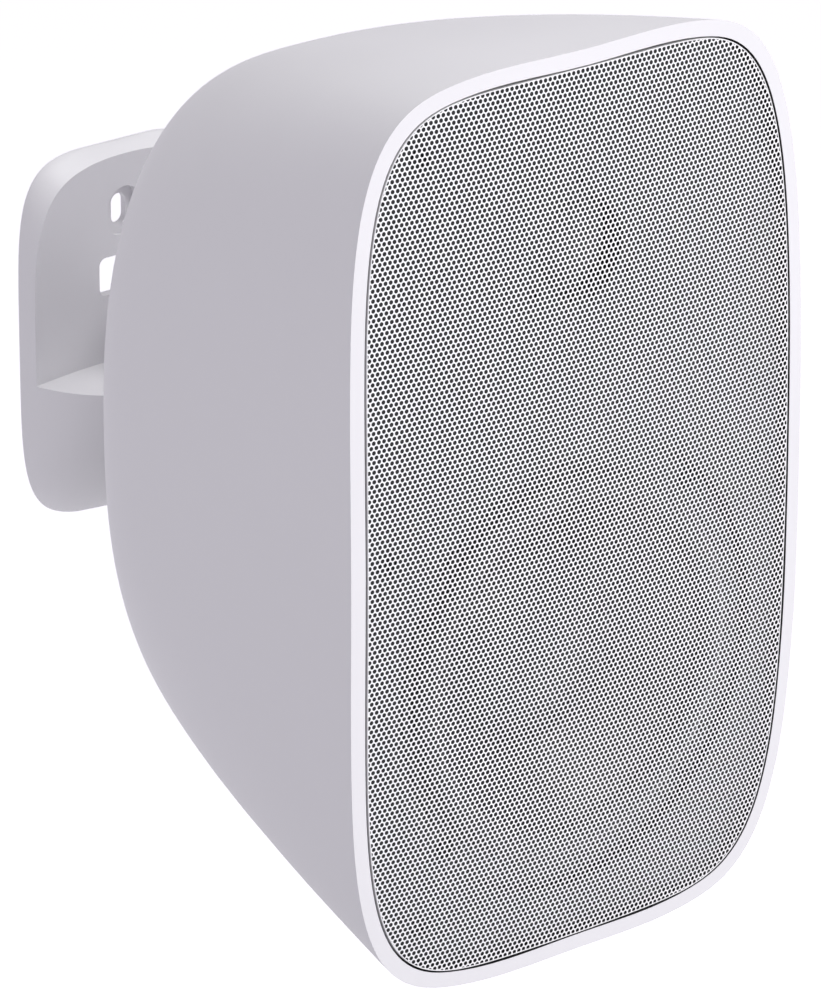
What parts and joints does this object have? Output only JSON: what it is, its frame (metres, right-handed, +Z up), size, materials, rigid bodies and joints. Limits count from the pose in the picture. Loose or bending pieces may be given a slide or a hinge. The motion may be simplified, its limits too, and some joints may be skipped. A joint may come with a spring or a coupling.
{
  "type": "wall-mount active speaker",
  "caption": "White wall-mount active speaker: tapered rounded cabinet, domed perforated grille over woofer and tweeter, swivel arm on a scooped wall bracket.",
  "frame": {"origin": "on the wall bracket's back, in the wall plane, level with the middle of the cabinet", "axes": "+Y into the wall, the speaker faces -Y, +Z up"},
  "size_m": [0.1722, 0.226, 0.2806],
  "materials": {
    "white_abs": "matte",
    "grille_steel": "satin",
    "dark_abs": "matte",
    "steel": "brushed",
    "black_screw": "satin",
    "gasket": "matte",
    "frame_steel": "satin",
    "surround_rubber": "matte",
    "cone_pp": "satin",
    "cap_gloss": "gloss",
    "spider_cloth": "matte",
    "coil": "satin",
    "ferrite": "matte",
    "dome_cloth": "matte",
    "board": "satin",
    "can": "satin",
    "panel_aluminium": "matte",
    "black_plastic": "matte",
    "contact": "polished",
    "sink": "matte",
    "transformer": "satin"
  },
  "bodies": {
    "bracket": {"wall_bracket": "white_abs", "pivot_bolt": "steel", "pivot_washers": "steel", "pivot_nut": "steel"},
    "arm": {"swivel_arm": "white_abs"},
    "speaker": {"mount_yoke": "white_abs", "yoke_screws": "steel", "tilt_bolt": "steel", "tilt_washers": "steel", "tilt_nut": "steel", "cabinet": "white_abs", "baffle": "dark_abs", "baffle_gasket": "gasket", "baffle_screws": "black_screw", "grille": "grille_steel", "woofer_frame": "frame_steel", "woofer_gasket": "gasket", "woofer_screws": "black_screw", "woofer_surround": "surround_rubber", "woofer_spider": "spider_cloth", "woofer_top_plate": "steel", "woofer_magnet": "ferrite", "woofer_back_plate": "steel", "tweeter_plate": "black_plastic", "tweeter_dome": "dome_cloth", "tweeter_magnet": "ferrite", "tweeter_screws": "black_screw", "crossover_board": "board", "crossover_coil": "coil", "crossover_capacitor": "can", "connector_panel": "panel_aluminium", "panel_gasket": "gasket", "panel_screws": "black_screw", "mains_inlet": "black_plastic", "inlet_pins": "contact", "power_switch_body": "black_plastic", "volume_potentiometer": "sink", "input_jacks": "contact", "output_socket": "black_plastic", "amplifier_board": "board", "board_pillars": "steel", "heat_sink": "sink", "board_capacitors": "can", "power_transformer": "transformer", "transformer_washer": "steel", "transformer_bolt": "steel"},
    "cone": {"woofer_cone": "cone_pp", "woofer_dust_cap": "cap_gloss", "woofer_voice_coil": "coil"},
    "knob": {"volume_shaft": "sink", "volume_knob": "black_plastic"},
    "rocker": {"power_rocker": "black_plastic"}
  },
  "joints": [
    {"name": "pan", "type": "hinge", "parent": "bracket", "child": "arm", "pos_m": [0, -0.022, 0], "axis": [0, 0, 1], "range_deg": [-40, 40]},
    {"name": "tilt", "type": "hinge", "parent": "arm", "child": "speaker", "pos_m": [0, -0.057, -0.004], "axis": [1, 0, 0], "range_deg": [-15, 25]},
    {"name": "cone_travel", "type": "slide", "parent": "speaker", "child": "cone", "axis": [0, -1, 0], "range_m": [-0.004, 0.004], "stiffness_N_per_m": 1000, "deforming": ["woofer_surround", "woofer_spider"]},
    {"name": "volume_turn", "type": "hinge", "parent": "speaker", "child": "knob", "pos_m": [0.004, -0.068, -0.0495], "axis": [0, 1, 0], "range_deg": [-150, 150]},
    {"name": "power_rock", "type": "hinge", "parent": "speaker", "child": "rocker", "pos_m": [-0.017, -0.0729, -0.0485], "axis": [0, 0, 1], "range_deg": [0, 16]}
  ]
}
